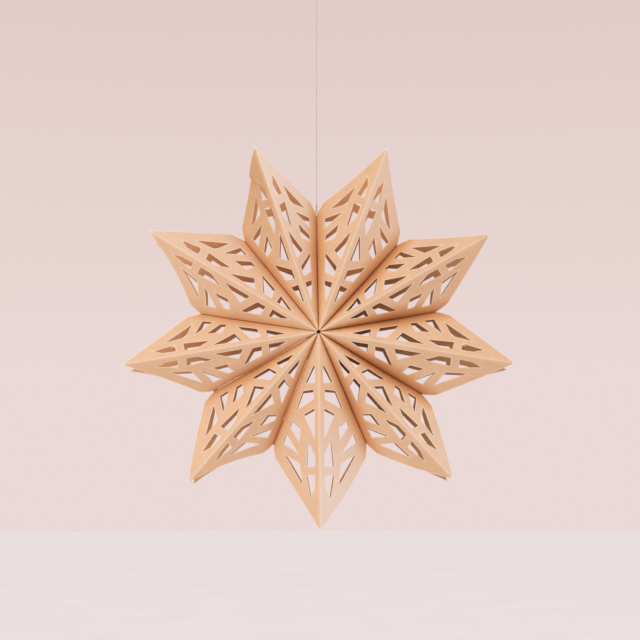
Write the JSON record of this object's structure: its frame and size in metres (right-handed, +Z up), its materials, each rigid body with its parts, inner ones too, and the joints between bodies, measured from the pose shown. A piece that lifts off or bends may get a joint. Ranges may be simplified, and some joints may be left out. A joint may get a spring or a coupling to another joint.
{
  "type": "hanging paper star",
  "caption": "Hanging star of folded card points glued at their fins, each facet cut through with a leaf-vein lattice, on a straight cotton thread that ends in a loop.",
  "frame": {"origin": "the hub of the star, on its axis and halfway between front and back", "axes": "+Z up along the thread, -Y out of the front of the star, +X to the right seen from the front"},
  "size_m": [0.3943, 0.067, 0.5875],
  "materials": {
    "paper": "matte",
    "thread": "matte"
  },
  "bodies": {
    "root": {"point_1": "paper", "point_2": "paper", "point_3": "paper", "point_4": "paper", "point_5": "paper", "point_6": "paper", "point_7": "paper", "point_8": "paper", "point_9": "paper", "hanging_thread": "thread"}
  },
  "joints": []
}
